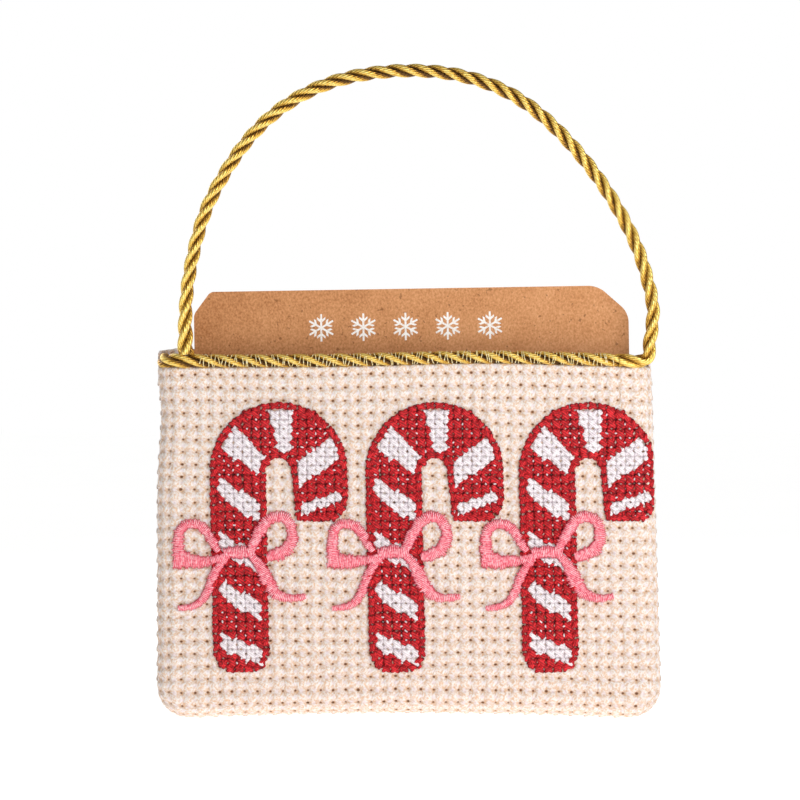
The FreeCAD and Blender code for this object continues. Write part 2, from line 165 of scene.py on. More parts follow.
def grain(finish, vector, scale, detail=2.0, rough=0.5):
    """Cloudy noise, from 0 to 1."""
    return add(finish, "ShaderNodeTexNoise",
               {"Vector": vector, "Scale": scale, "Detail": detail, "Roughness": rough})


def tint(finish, factor, first, second):
    """Mix of two colours, each an output or a screen colour."""
    mixed = add(finish, "ShaderNodeMix", {"Factor": factor}, output=2, data_type="RGBA")
    for socket, colour in ((6, first), (7, second)):
        if isinstance(colour, bpy.types.NodeSocket):
            finish.node_tree.links.new(colour, mixed.node.inputs[socket])
        else:
            mixed.node.inputs[socket].default_value = linear(*colour)
    return mixed


def wear(finish, colour=None, height=None, relief=0.1, strength=0.6, roughness=None):
    """Join a tree to its shader: colour, and a height whose full range is relief in millimetres."""
    links = finish.node_tree.links
    shader = finish.node_tree.nodes["Principled BSDF"]
    if colour is not None:
        links.new(colour, shader.inputs["Base Color"])
    if roughness is not None:
        links.new(roughness, shader.inputs["Roughness"])
    if height is not None:
        bump = add(finish, "ShaderNodeBump", {"Height": height, "Strength": strength,
                                              "Distance": relief * MM})
        links.new(bump, shader.inputs["Normal"])
    return finish


# %% [markdown]
# ## Tools for shapes
# Cloth and the plies of a cord are both sheets: one lies on the pouch, the other is rolled into a
# tube. So one helper lays a flat grid onto any form. The form is a function of two shares, along the
# grid and across it, and the same two shares stay on the piece as its UV map, for weave and twist.

# %% Shape helpers


def to_mesh(name, shape):
    """A bmesh as a mesh."""
    mesh = bpy.data.meshes.new(name)
    shape.to_mesh(mesh)
    shape.free()
    return mesh


def finish_piece(name, shape, finish, body, replaced, smooth=True):
    """Make the object, dress it and tie it to the frame."""
    mesh = to_mesh(name, shape)
    mesh.materials.append(finish)
    mesh.polygons.foreach_set("use_smooth", [smooth] * len(mesh.polygons))
    piece = show(name, mesh)
    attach(piece, body)
    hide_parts(*replaced)
    print(f"{name}: {len(mesh.polygons)} faces")
    return piece


def lay_grid(shape, columns, rows, place, lines=(0.0,)):
    """Add a flat grid to a mesh and lay it on a form: place(u, v) gives the point in millimetres.

    Lines are the places of the grid lines within each column and row.
    """
    uv = shape.loops.layers.uv.verify()
    grid = bmesh.ops.create_grid(shape, x_segments=columns * len(lines), y_segments=rows * len(lines),
                                 size=0.5, matrix=Matrix.Translation((0.5, 0.5, 0)))
    verts = grid["verts"]
    for vert in verts:
        for axis, cells in ((0, columns), (1, rows)):
            cell, line = divmod(round(vert.co[axis] * cells * len(lines)), len(lines))
            vert.co[axis] = (cell + lines[line]) / cells
    for face in {face for vert in verts for face in vert.link_faces}:
        for loop in face.loops:
            loop[uv].uv = loop.vert.co.xy
    for vert in verts:
        vert.co = place(vert.co.x, vert.co.y) * MM
    return verts


def give_wall(piece, thickness):
    """Thicken a sheet inwards, by millimetres."""
    wall = piece.modifiers.new("thickness", "SOLIDIFY")
    wall.thickness = thickness * MM
    wall.offset = -1


def spline_line(name, points, resolution):
    """Points of the smooth NURBS line that has these millimetre points as its control points."""
    curve = bpy.data.curves.new(name, "CURVE")
    curve.dimensions = "3D"
    curve.resolution_u = resolution
    spline = curve.splines.new("NURBS")
    spline.points.add(len(points) - 1)
    for control, point in zip(spline.points, points):
        control.co = (*(Vector(point) * MM), 1.0)
    spline.order_u = 3
    spline.use_endpoint_u = True
    holder = bpy.data.objects.new(name, curve)
    read = bpy.data.meshes.new_from_object(holder)
    line = [vert.co / MM for vert in read.vertices]
    bpy.data.objects.remove(holder)
    bpy.data.meshes.remove(read)
    return line


# %% [markdown]
# ## Gold cord
# The handle and the edging of the mouth are one kind of cord: three plies laid up to the right, each
# a bundle of fine metallic yarns twisted the other way. A bevelled curve would be a smooth hose, so
# each ply is a grid rolled round a helix, and its yarns are lines in the finish. The route follows the
# CAD's, as control points of a NURBS line. Three more points near the right corner fold the cord
# up sharply, as on the real one, and the left leg bows a little outwards, to pass the card.

# %% Gold finish
FACTOR_OUTPUT = 2
YARN_LINES = 9
YARN_LAY = 1.4
gold = new_finish("gold_cord", Metallic=0.7, Roughness=0.4)
# The dark between the plies is painted shade, and its lean to one side is a painted highlight on the lit
# side of each ply; an attribute on each ply carries both into the colour.
lay, painted_ply_shading = [add(gold, "ShaderNodeAttribute", output=FACTOR_OUTPUT, attribute_name=name)
              for name in ("lay", "painted_ply_shading")]
round_ply = axes(gold, uv_place(gold))[1]
slanted = weigh(gold, (round_ply, YARN_LINES), (lay, YARN_LINES * YARN_LAY))
yarns = maths(gold, "PINGPONG", slanted, 0.5)
gold_place = piece_place(gold)
glints = maths(gold, "ADD", grain(gold, gold_place, 1500.0), grain(gold, gold_place, 4200.0, 1.0))
# The attribute's weight adds the painted shade between plies and the painted highlight to the yarn tone.
gold_tone = weigh(gold, (yarns, 0.5), (glints, 0.5), (painted_ply_shading, 0.34))
gold_colour = ramp(gold, gold_tone, [(0.38, (84, 56, 20)), (0.62, (176, 126, 44)),
                                     (0.84, (238, 191, 80)), (1.0, (255, 231, 136))])
wear(gold, gold_colour, yarns, relief=0.2, strength=0.9)

# %% Cord helper
PLY_COUNT = 3
PLY_RADIUS = 0.72
PLY_REACH = 0.72
LAY_LENGTH = 12.4
PLY_SIDES = 24
# How far the painted highlight leans towards the lit side of each ply.
PAINTED_SHINE_LEAN = 0.4
# Share of the painted shade between the plies that is left at the cord's ends.
END_SHADE_SHARE = 0.5
FLARE_LENGTH = 6.0
ROUTE_RESOLUTION = 24
WELD = 1e-7


def twist_cord(shape, line, side, size=1.0, ply_shade_contrast=1.0, shade_ease_length=8.0, phase=0.0, flare=0.0):
    """Three plies round a line of points. Side is square to the plane that the line turns in.

    Flare is how much wider the cord gets at its far end, where it is sewn down. Each point keeps how
    far it stands out of the cord, which paints shade between the plies, and the turns so far, as
    lay, for the yarns. That painted shade is turned a little to one side, which paints a highlight on
    the lit side of each ply. Towards each end, over the ease length, the painted shade gets lighter.
    """
    headings = [(after - before).normalized()
                for before, after in zip(line[:1] + line[:-1], line[1:] + line[-1:])]
    travelled = [0.0]
    for before, after in zip(line, line[1:]):
        travelled.append(travelled[-1] + (after - before).length)
    out = Vector(side)
    last = len(line) - 1
    painted_ply_shading, lay = [shape.verts.layers.float.new(name) for name in ("painted_ply_shading", "lay")]
    for ply in range(PLY_COUNT):
        kept = []

        def on_ply(u, v):
            index = round(u * last)
            cross = headings[index].cross(out)
            turns = travelled[index] / LAY_LENGTH + ply / PLY_COUNT + phase
            twist = math.tau * turns
            turn = math.tau * v
            to_end = travelled[-1] - travelled[index]
            # The painted shade between the plies gets lighter towards both ends.
            full_shade_share = min(1.0, min(to_end, travelled[index]) / shade_ease_length) ** 2
            depth = ply_shade_contrast * (END_SHADE_SHARE + (1 - END_SHADE_SHARE) * full_shade_share)
            # Painted shade between the plies, with a painted highlight leaning to the lit side.
            kept.append((1 - depth * (1 - math.cos(turn - twist + PAINTED_SHINE_LEAN)), turns))
            scale = size * (1 + flare * math.exp(-(to_end / FLARE_LENGTH) ** 2))
            return line[index] + scale * (
                PLY_REACH * (math.cos(twist) * out + math.sin(twist) * cross)
                + PLY_RADIUS * (math.cos(turn) * out + math.sin(turn) * cross))

        for vert, values in zip(lay_grid(shape, last, PLY_SIDES, on_ply), kept):
            vert[painted_ply_shading], vert[lay] = values
    bmesh.ops.remove_doubles(shape, verts=shape.verts, dist=WELD)
    bmesh.ops.holes_fill(shape, edges=[edge for edge in shape.edges if edge.is_boundary], sides=0)
    bmesh.ops.recalc_face_normals(shape, faces=shape.faces)
    return travelled[-1]


# %% Handle
CORD_DIAMETER = 2.7
CORD_Y = -4.7
CORD_Z = 72.85
HANDLE_ROUTE = [
    (42.8, -0.3), (45.5, -0.3), (48.7, -0.4), (48.9, 2.8), (49.7, 8.0), (49.6, 12.5), (46.1, 24.6),
    (37.3, 39.2), (25.0, 51.95), (12.0, 57.85), (-3.5, 58.85), (-18.3, 55.8), (-30.6, 47.6),
    (-39.9, 33.6), (-43.45, 22.6), (-45.45, 9.6), (-44.95, 0.9),
]
handle_line = spline_line("handle_route", [(x, CORD_Y, CORD_Z + rise) for x, rise in HANDLE_ROUTE],
                          ROUTE_RESOLUTION)
handle_shape = bmesh.new()
handle_length = twist_cord(handle_shape, handle_line, (0, -1, 0), size=0.985, ply_shade_contrast=1.75,
                           shade_ease_length=85.0, flare=0.2)
handle = finish_piece("twisted_handle", handle_shape, gold, "handle", ["handle_cord"])
print(f"handle cord {handle_length:.1f} mm")

# %% Mouth edging
TRIM_RUN = (42.8, 30.0, 16.0, 2.0, -12.0, -27.0, -41.7, -49.4)
TRIM_END = (-49.4, -0.95)
TRIM_Z = 72.55
MOUTH_RISE = 0.8
MOUTH_PEAK_X = 16
MOUTH_SPREAD = 22


def mouth_bow(x):
    """How far the mouth rises above a straight line. It is highest right of the middle."""
    return MOUTH_RISE * math.exp(-((x - MOUTH_PEAK_X) / MOUTH_SPREAD) ** 2)


trim_route = [(x, CORD_Y) for x in TRIM_RUN] + [TRIM_END]
trim_line = spline_line("trim_route", [(x, y, TRIM_Z + mouth_bow(x)) for x, y in trim_route],
                        ROUTE_RESOLUTION)
trim_shape = bmesh.new()
trim_length = twist_cord(trim_shape, trim_line, (0, 0, 1), size=0.95, ply_shade_contrast=1.9, phase=1 / 12,
                         flare=0.16)
finish_piece("mouth_edging", trim_shape, gold, "pouch", ["mouth_trim_cord"])
print(f"mouth edging {trim_length:.1f} mm")

# %% [markdown]
# ## Form of the pouch
# A stuffed cloth edge rolls over in a soft quarter round, and the cloth shrinks round the bottom
# corners. Two functions describe that. One turns a flat place on the cloth into a place seen from the
# front, with cells crowding towards the edges as on a real roll. The other gives the depth there, and
# the embroidery uses it too, so every stitch lies on the cloth.

# %% Pouch form
CLOTH_WIDTH = 106.6
CLOTH_COLUMNS = 42
ROLL_LENGTH = 8.9
CORNER = 6.5
ROLL_WIDTH = 4.6
FULLNESS = 2.5
FLAT_HALF = CLOTH_WIDTH / 2 - ROLL_LENGTH
WALL = 1.5
SIDES = {
    "front": {"facing": -1, "depth": 4.55, "crown": 0.75, "mouth": 71.4, "rows": 32, "pitch": 2.57,
              "corner_rises": (0.0, 0.0)},
    "back": {"facing": 1, "depth": 3.8, "crown": 0.2, "mouth": 74.4, "rows": 33, "pitch": 2.53,
             "corner_rises": (0.8, -0.9)},
}
HALF_HEIGHT = 36
NOISE_PLANE = 3.7


def soft(x, z, size):
    """Gentle unevenness from -1 to 1, the same on every run."""
    return noise.noise(Vector((x / size, NOISE_PLANE, z / size)))


def to_mouth(z):
    """How far up the upper half a place is: nothing halfway up, and one near the mouth."""
    return max(0.0, z / HALF_HEIGHT - 1)


# %% Pouch outline
PINCH_Z = 62
PINCH_ABOVE = 5.5
PINCH_BELOW = 9
PINCH_DEPTH = 0.8
LEFT_SWELL = 0.1
RIGHT_SWELL = 0.75
RIGHT_TAPER = 0.03
FOOT_LIFT = 1.0
FOOT_HALF = 44
FOOT_HEIGHT = 24


def outline_shift(x, z):
    """How far the real outline leaves a plain rounded rectangle, in x and in z."""
    pinch = math.exp(-((z - PINCH_Z) / (PINCH_ABOVE if z > PINCH_Z else PINCH_BELOW)) ** 2)
    side = x / (FLAT_HALF + CORNER)
    left, right = LEFT_SWELL - PINCH_DEPTH * pinch, RIGHT_SWELL - RIGHT_TAPER * z
    across = abs(side) ** 3 * (right if side > 0 else -left)
    lift = FOOT_LIFT * max(0.0, 1 - (x / FOOT_HALF) ** 2) * max(0.0, 1 - z / FOOT_HEIGHT)
    lift += mouth_bow(x) * to_mouth(z)
    return across, lift


def plain_place(u, up, inset=0.0):
    """Place on a plain rounded rectangle of a flat place on the cloth: u across it, up from the seam."""
    flat = u * CLOTH_WIDTH
    to_edge = min(flat, CLOTH_WIDTH - flat)
    side = -1 if u < 0.5 else 1
    nx = math.cos(min(1.0, to_edge / ROLL_LENGTH) * math.pi / 2)
    nz = math.cos(min(1.0, up / ROLL_LENGTH) * math.pi / 2)
    radius = CORNER - inset
    face_x = max(0.0, to_edge - ROLL_LENGTH)
    x = side * (FLAT_HALF - face_x + radius * nx * math.sqrt(1 - nz * nz / 2))
    z = CORNER - radius * nz * math.sqrt(1 - nx * nx / 2) + max(0.0, up - ROLL_LENGTH)
    return x, z


# %% Pouch depth
CROWN_HALF = 50
CROWN_HEIGHT = 20
DENT_DEPTH = 0.22
DENT_SIZE = 17
NOISE_APART = 40
CORNER_X = 46
CORNER_SPREAD = 5


def cloth_depth(side, x, z, inset=0.0):
    """Distance from the seam plane to the cloth at a place on the plain rounded rectangle."""
    nx = max(0.0, (abs(x) - FLAT_HALF) / CORNER)
    nz = max(0.0, (CORNER - z) / CORNER)
    from_edge = CORNER * (1 - min(1.0, math.hypot(nx, nz))) - inset
    if from_edge <= 0:
        return 0.0
    roll = 1 - min(1.0, from_edge / (ROLL_WIDTH - inset / 2))
    form = SIDES[side]
    swell = form["crown"] * max(0.0, 1 - (x / CROWN_HALF) ** 2) * min(1.0, z / CROWN_HEIGHT)
    uneven = DENT_DEPTH * soft(x + NOISE_APART * form["facing"], z, DENT_SIZE) * (1 - roll)
    return (form["depth"] - inset) * (1 - roll ** FULLNESS) ** (1 / FULLNESS) + swell + uneven


def cloth_point(side, u, up, inset=0.0):
    """Point on the cloth of one side."""
    x, z = plain_place(u, up, inset)
    across, lift = outline_shift(x, z)
    for corner, rise in zip((-CORNER_X, CORNER_X), SIDES[side]["corner_rises"]):
        lift += rise * math.exp(-((x - corner) / CORNER_SPREAD) ** 2) * to_mouth(z)
    return Vector((x + across, SIDES[side]["facing"] * cloth_depth(side, x, z, inset), z + lift))


# %% [markdown]
# ## Even-weave cloth
# The cloth is woven in blocks of thread with a hole at each corner, ten to the inch. The blocks are
# modelled, because holes and puffed squares show in the outline and from the side, and the threads
# inside a block are left to the finish. The grid has five lines to a block, crowded round the holes.
# At the mouth the sheet turns over and runs down inside as a hem, and a Solidify modifier gives it
# its thickness.

# %% Cloth finish
HOLE_STRETCH = 0.8
STRAND_TURNS = (62, -28)
STRAND_SIZE = (0.15, 0.28, 1.0)
# Where the painted shade in the holes fades out towards both sides, as shares of the width.
HOLE_SHADE_SIDE_FADE = (0.062, 0.026)


def even_weave(name, rows):
    """Cream even-weave cloth: small holes with painted brown shade in them, and between them twisted
    threads, over and under.

    The painted shade in the holes fades out towards both sides. Round the holes and in the grooves
    between threads, tan tints and a darker tone are painted shade.
    """
    cloth = new_finish(name, Roughness=0.9, Sheen_Weight=0.1, Specular_IOR_Level=0.2)
    uv = uv_place(cloth)
    place = piece_place(cloth)
    cells = add(cloth, "ShaderNodeMapping", {"Vector": uv, "Scale": (CLOTH_COLUMNS, rows, 1)})
    u, v = axes(cloth, cells)[:2]
    waves = [maths(cloth, "COSINE", maths(cloth, "MULTIPLY", axis, math.tau)) for axis in (u, v)]
    heart, corner = [maths(cloth, "MULTIPLY", *[
        maths(cloth, "MULTIPLY_ADD", wave, sign) for wave in waves]) for sign in (-0.5, 0.5)]
    to_side = maths(cloth, "PINGPONG", axes(cloth, uv)[0], 0.5)
    to_line = [maths(cloth, "PINGPONG", axis, 0.5) for axis in (u, v)]
    to_line[0] = maths(cloth, "MULTIPLY", to_line[0], HOLE_STRETCH)
    to_hole = maths(cloth, "SQRT", maths(cloth, "ADD", maths(cloth, "POWER", to_line[0], 2.0),
                                         maths(cloth, "POWER", to_line[1], 2.0)))
    loose = grain(cloth, place, 420.0, 1.0)
    reach = weigh(cloth, (to_hole, 1.0), (loose, -0.14))
    hole = fade(cloth, reach, -0.03, 0.045)
    painted_hole_halo = fade(cloth, reach, 0.0, 0.16)
    strands = [grain(cloth, add(cloth, "ShaderNodeMapping", {
        "Vector": cells, "Rotation": (0, 0, math.radians(turn)), "Scale": STRAND_SIZE},
        vector_type="TEXTURE"), 1.0, 2.0, 0.6) for turn in STRAND_TURNS]
    sideways = maths(cloth, "SUBTRACT", *waves)
    upright = fade(cloth, sideways, 1.2, -1.2)
    strand = add(cloth, "ShaderNodeMix", {"Factor": upright, "A": strands[0], "B": strands[1]})
    fuzz = grain(cloth, place, 1500.0, 3.0, 0.65)
    # The corner weight paints shade: the cloth is darker round each hole.
    tone = weigh(cloth, (strand, 0.8), (fuzz, 0.5), (corner, -0.14), (sideways, 0.025))
    colour = ramp(cloth, tone, [(0.34, (180, 147, 130)), (0.5, (218, 197, 185)),
                                (0.65, (239, 226, 217)), (0.84, (251, 248, 243))])
    hue = weigh(cloth, (corner, 1.0), (heart, 0.8), (grain(cloth, place, 900.0), 0.5))
    cool = fade(cloth, hue, 0.2, 0.6)
    # Painted shade: a tan tint in the grooves between threads, mostly in the middle of each block and
    # near the holes.
    groove = fade(cloth, strand, 0.4, 0.56)
    painted_groove_shade = maths(cloth, "MULTIPLY", groove, fade(cloth, hue, 0.9, 0.1))
    colour = tint(cloth, maths(cloth, "MULTIPLY", cool, 0.6), colour, (234, 221, 229))
    colour = tint(cloth, maths(cloth, "MULTIPLY", painted_groove_shade, 0.75), colour, (228, 186, 146))
    # Painted shade: a tan ring round each hole.
    colour = tint(cloth, maths(cloth, "MULTIPLY", painted_hole_halo, 0.4), colour, (222, 178, 138))
    # The painted shade in the holes fades out towards both sides.
    painted_hole_shade = maths(cloth, "MULTIPLY", hole, fade(cloth, to_side, *HOLE_SHADE_SIDE_FADE))
    # Painted shade: the holes themselves are dark brown.
    colour = tint(cloth, maths(cloth, "MULTIPLY", painted_hole_shade, 0.9), colour, (118, 70, 36))
    height = weigh(cloth, (strand, 1.2), (fuzz, 1.0), *[(wave, -0.4) for wave in waves])
    return wear(cloth, colour, height, relief=0.3, strength=0.8)


# %% Cloth panels
LINES = (0.0, 0.12, 0.36, 0.64, 0.88)
FOLD_RADIUS = WALL / 2
CLOTH_THICKNESS = 0.6
PUFF = 0.24
PUFF_LEVEL = 0.6
HOLE_DEPTH = 0.38
HOLE_REACH = 0.01
SWAY = 0.3
SWAY_SIZE = 7
SWAY_FADE = 8
ROCK_FADE = 4
ROCK_APART = 90
MOUTH_STEP = 0.002
DEPTH_WEIGHT = 20


def weave_height(u, v, rows):
    """Height of the weave at a grid point: each block swells, and its corners are pits."""
    across, up = u * CLOTH_COLUMNS % 1, v * rows % 1
    swell = 0.5 - (math.cos(math.tau * across) + math.cos(math.tau * up)) / 4
    crossing = max(min(across, 1 - across), min(up, 1 - up)) < HOLE_REACH
    pit = HOLE_DEPTH if crossing else 0.0
    return PUFF * (swell - PUFF_LEVEL) - pit


def panel_point(side, u, v):
    """Point of a panel, which turns over at the mouth and runs down inside."""
    up = v * SIDES[side]["rows"] * SIDES[side]["pitch"]
    fold_start = SIDES[side]["mouth"] - FOLD_RADIUS - CORNER + ROLL_LENGTH
    over = up - fold_start
    if over <= 0:
        sway = SWAY * soft(u * CLOTH_WIDTH, up, SWAY_SIZE) * min(1.0, SWAY_FADE * u * (1 - u))
        rock = SWAY * soft(u * CLOTH_WIDTH + ROCK_APART, up, SWAY_SIZE) * min(1.0, up / ROCK_FADE)
        return cloth_point(side, u + sway / CLOTH_WIDTH, up + rock)
    edge = cloth_point(side, u, fold_start)
    before, after = [cloth_point(side, share, fold_start)
                     for share in (max(0.0, u - MOUTH_STEP), min(1.0, u + MOUTH_STEP))]
    along = after - before
    inward = Vector((along.y, -along.x, 0)).normalized()
    inward *= 1 if inward.dot(Vector((-edge.x, -edge.y * DEPTH_WEIGHT, 0))) > 0 else -1
    turn = min(math.pi, over / FOLD_RADIUS)
    rise = FOLD_RADIUS * math.sin(turn) - max(0.0, over - math.pi * FOLD_RADIUS)
    return edge + inward * FOLD_RADIUS * (1 - math.cos(turn)) + Vector((0, 0, rise))


def cloth_panel(name, side, finish):
    """One panel of even-weave cloth with its turned hem."""
    rows = SIDES[side]["rows"]
    mirrored = SIDES[side]["facing"] > 0
    shape = bmesh.new()
    heights = []

    def place(u, v):
        heights.append(weave_height(u, v, rows))
        return panel_point(side, 1 - u if mirrored else u, v)

    verts = lay_grid(shape, CLOTH_COLUMNS, rows, place, LINES)
    shape.normal_update()
    for vert, height in zip(verts, heights):
        vert.co += vert.normal * height * MM
    piece = finish_piece(name, shape, finish, "pouch", [f"{side}_panel"])
    give_wall(piece, CLOTH_THICKNESS)


for side in SIDES:
    cloth_panel(f"{side}_cloth", side, even_weave(f"{side}_even_weave", SIDES[side]["rows"]))

# %% [markdown]
# ## Lining and seams
# Inside, a thin cotton lining covers the stiffener and is felled over the hem. It repeats the form of
# the pouch a wall's thickness further in. The two panels are joined by ladder stitches, which show
# from the side as short threads across the seam.

# %% Lining
cotton = new_finish("lining_cotton", Roughness=0.85, Specular_IOR_Level=0.2)
COTTON_PITCH = 0.45
cotton_place = piece_place(cotton)
cotton_x, _, cotton_z = axes(cotton, cotton_place)
cotton_weave = maths(cotton, "MULTIPLY", *[
    maths(cotton, "SINE", maths(cotton, "MULTIPLY", axis, math.tau / (COTTON_PITCH * MM)))
    for axis in (cotton_x, cotton_z)])
cotton_tone = weigh(cotton, (cotton_weave, 0.2), (grain(cotton, cotton_place, 700.0), 1.0))
wear(cotton, ramp(cotton, cotton_tone, [(0.2, (214, 200, 184)), (0.6, (240, 230, 218)),
                                        (0.9, (250, 244, 236))]), cotton_weave, relief=0.05)

LINING_INSET = 1.55
LINING_THICKNESS = 0.25
LINING_DROP = 3.0
LINING_GRID = (84, 64)


def lining_sheet(name, side):
    """Cotton sheet inside one panel."""
    top = SIDES[side]["mouth"] - LINING_DROP - CORNER + ROLL_LENGTH
    mirrored = SIDES[side]["facing"] > 0
    shape = bmesh.new()
    lay_grid(shape, *LINING_GRID,
             lambda u, v: cloth_point(side, 1 - u if mirrored else u, v * top, LINING_INSET))
    piece = finish_piece(name, shape, cotton, "pouch",
                         [f"{side}_lining", f"{side}_interlining"])
    give_wall(piece, LINING_THICKNESS)


for side in SIDES:
    lining_sheet(f"{side}_cotton", side)

# %% [markdown]
# ## Thread
# Everything sewn on the holder is the same small shape: a plump piece of thread that dives into the
# cloth at both ends. One ball with blunt ends is the template, one that stays pointed serves the fine
# satin threads, and each stitch is a copy stretched from where the thread comes up to where it goes
# down. Its UV map runs along the thread, for fibres and for painted shade near the ends, where it dives.

# %% Thread helpers
THREAD_SIDES = 8
THREAD_RINGS = 6


def thread_template(name, blunt_ends):
    """A thread of unit length along X, unit width along Y and unit height along Z."""
    shape = bmesh.new()
    shape.loops.layers.uv.verify()
    bmesh.ops.create_uvsphere(shape, u_segments=THREAD_SIDES, v_segments=THREAD_RINGS, radius=0.5,
                              matrix=Matrix.Rotation(math.pi / 2, 4, "Y"), calc_uvs=True)
    for vert in shape.verts if blunt_ends else []:
        reach = min(0.999, abs(2 * vert.co.x))
        blunt = math.sqrt((1 - reach ** 4) / (1 - reach ** 2))
        vert.co.yz *= blunt
    return to_mesh(name, shape)


THREAD = thread_template("thread", blunt_ends=True)
FINE_THREAD = thread_template("fine_thread", blunt_ends=False)


def sew(shape, start, end, out, width, height, template=THREAD):
    """Add a thread from start to end, as wide and as high as given. Out points away from the cloth."""
    along = end - start
    across = out.cross(along).normalized()
    out = along.cross(across).normalized()
    turned = Matrix((along * MM, across * width * MM, out * height * MM)).transposed().to_4x4()
    turned.translation = (start + end) / 2 * MM
    stitch = template.copy()
    stitch.transform(turned)
    shape.from_mesh(stitch)
    bpy.data.meshes.remove(stitch)


def floss(name, dark, middle, light, fibres=5.0, twist=3.0, patches=1400.0, end_shade_weight=0.6, **constants):
    """Embroidery thread: fibres along its length, with the colour uneven from stitch to stitch, and
    painted shade near both ends, where it dives into the cloth.
    """
    thread = new_finish(name, **constants)
    around, along = axes(thread, uv_place(thread))[:2]
    strand = maths(thread, "PINGPONG", weigh(thread, (around, fibres * 2), (along, twist)), 0.5)
    patch = grain(thread, piece_place(thread), patches, 3.0, 0.6)
    # Painted shade: the thread is darker near both ends, where it dives into the cloth.
    painted_end_shade = fade(thread, maths(thread, "PINGPONG", along, 0.5), 0.04, 0.28)
    tone = weigh(thread, (strand, 0.8), (patch, 1.1), (painted_end_shade, -end_shade_weight))
    colour = ramp(thread, tone, [(0.35, dark), (0.7, middle), (1.0, light)])
    return wear(thread, colour, strand, relief=0.1, strength=0.7)


# %% Seam stitches
SEAM_PITCH = 3.0
SEAM_REACH = 0.9
SEAM_SLANT = 0.5
SEAM_WIDTH = 0.42
seam_thread = floss("seam_thread", (205, 182, 164), (236, 219, 206), (250, 240, 232), Roughness=0.7)


def seam_stitches(name, places, replaced):
    """Ladder stitches across the seam: places are (point on the seam, direction away from it, along)."""
    shape = bmesh.new()
    for point, out, along in places:
        across = Vector((0, SEAM_REACH, 0))
        sew(shape, point - across - along * SEAM_SLANT, point + across + along * SEAM_SLANT, out,
            SEAM_WIDTH, SEAM_WIDTH)
    finish_piece(name, shape, seam_thread, "pouch", [replaced])


SIDE_STITCHES = 21
for name, u, facing in (("left", 0.0, -1), ("right", 1.0, 1)):
    heights = [CORNER + (index + 0.5) * SEAM_PITCH for index in range(SIDE_STITCHES)]
    seam_stitches(f"{name}_ladder_stitches",
                  [(cloth_point("front", u, z - CORNER + ROLL_LENGTH), Vector((facing, 0, 0)),
                    Vector((0, 0, 1))) for z in heights], f"{name}_seam_stitches")
BOTTOM_STITCHES = 29
shares = [0.5 + (index - BOTTOM_STITCHES // 2) * SEAM_PITCH / CLOTH_WIDTH
          for index in range(BOTTOM_STITCHES)]
seam_stitches("bottom_ladder_stitches",
              [(cloth_point("front", u, 0.0), Vector((0, 0, -1)), Vector((1, 0, 0))) for u in shares],
              "bottom_seam_stitches")

# %% [markdown]
# ## Places on the embroidered front
# Embroidery is planned flat, on a chart, and sewn onto a curved front. This helper lifts a place on the
# chart to the cloth there, with the direction that points out of the cloth.

# %% Places on the front
SEWN_MARGIN = 0.75
SEWN_EDGE = FLAT_HALF + CORNER - SEWN_MARGIN
SLOPE_STEP = 0.2


def on_front(x, z, lift=0.0):
    """Point over the front cloth, and the direction away from it."""
    across, rise = outline_shift(x, z)
    plain_x, plain_z = min(x - across, SEWN_EDGE), z - rise
    right, left, above, below = [
        cloth_depth("front", plain_x + step_x, plain_z + step_z) for step_x, step_z in (
            (SLOPE_STEP, 0), (-SLOPE_STEP, 0), (0, SLOPE_STEP), (0, -SLOPE_STEP))]
    out = Vector((left - right, -2 * SLOPE_STEP, below - above)).normalized()
    return Vector((plain_x + across, -cloth_depth("front", plain_x, plain_z), z)) + out * lift, out


def walk(points, step):
    """Points at even steps along a line of points, each with the heading there."""
    left = step / 2
    for before, after in zip(points, points[1:]):
        run = after - before
        while left <= run.length:
            yield before + run * (left / run.length), run.normalized()
            left += step
        left -= run.length


# %% [markdown]
# ## Cross-stitched canes
# Each cane is a band that rises from the tip of the hook, goes over a half-ring arch and comes down as
# the stem. A place on it is told by two numbers: how far along the band, and how far across. With
# these, one rule says whether a stitch of the chart is inside, and another whether it is in a white
# stripe. An arm of a stitch changes colour where it meets a stripe's edge, which keeps the slanted edges
# clean, and a row of red stitches follows the outline.

# %% Cane chart
STITCH = 1.86
BAND_HALF = 5.65
ARCH_RADIUS = 8.25
ARCH_Z = 50.2
TIP_Z = 40.1
FOOT_Z = 9.5
TOE_RADIUS = 4.8
HEEL_RADIUS = 1.6
ARM_TAPER = 0.9
STEM_LEAN = 0.02
ARM = ARCH_Z - TIP_Z
TURN = math.pi * ARCH_RADIUS
CANE_LENGTH = ARM + TURN + ARCH_Z - FOOT_Z
CANES = {"left": -26.2, "middle": 5.35, "right": 36.4}
# Each stripe as shares of the length: start and end on the outer edge, then on the inner edge
STRIPE_SHARES = [
    (0.059, 0.089, 0.007, 0.034), (0.159, 0.197, 0.076, 0.163), (0.279, 0.32, 0.193, 0.288),
    (0.383, 0.427, 0.395, 0.492), (0.475, 0.526, 0.559, 0.621), (0.618, 0.677, 0.702, 0.747),
    (0.747, 0.798, 0.824, 0.873), (0.888, 0.931, 0.947, 0.992),
]


def upright_place(arch_x, x, z):
    """A place as seen from the middle of a cane's arch, with the lean of the stem taken out."""
    return x - arch_x - STEM_LEAN * max(0.0, ARCH_Z - z), z - ARCH_Z


def band_place(arch_x, x, z):
    """How far along a cane and across it a place is. Across is positive towards the inside."""
    x, z = upright_place(arch_x, x, z)
    if z > 0:
        return ARM + ARCH_RADIUS * math.atan2(z, x), ARCH_RADIUS - math.hypot(x, z)
    if x > 0:
        return ARM + z, ARCH_RADIUS - x
    return ARM + TURN - z, ARCH_RADIUS + x


